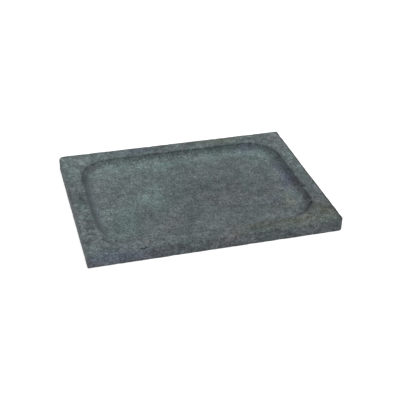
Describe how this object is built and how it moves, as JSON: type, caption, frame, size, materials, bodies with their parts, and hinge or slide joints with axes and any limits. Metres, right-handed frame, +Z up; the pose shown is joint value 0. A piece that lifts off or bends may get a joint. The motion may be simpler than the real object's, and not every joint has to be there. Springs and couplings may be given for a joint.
{
  "type": "stone tray",
  "caption": "Flat rectangular tray of dark grey-green stone with a shallow round-cornered recess ground into its top, for holding massage stones.",
  "frame": {"origin": "middle of the slab's length and width, on its underside", "axes": "+X along the length, to the right seen from the front; +Y to the back; +Z up, out of the recess"},
  "size_m": [0.4, 0.3, 0.02],
  "materials": {
    "stone": "matte"
  },
  "bodies": {
    "root": {"stone_tray": "stone"}
  },
  "joints": []
}
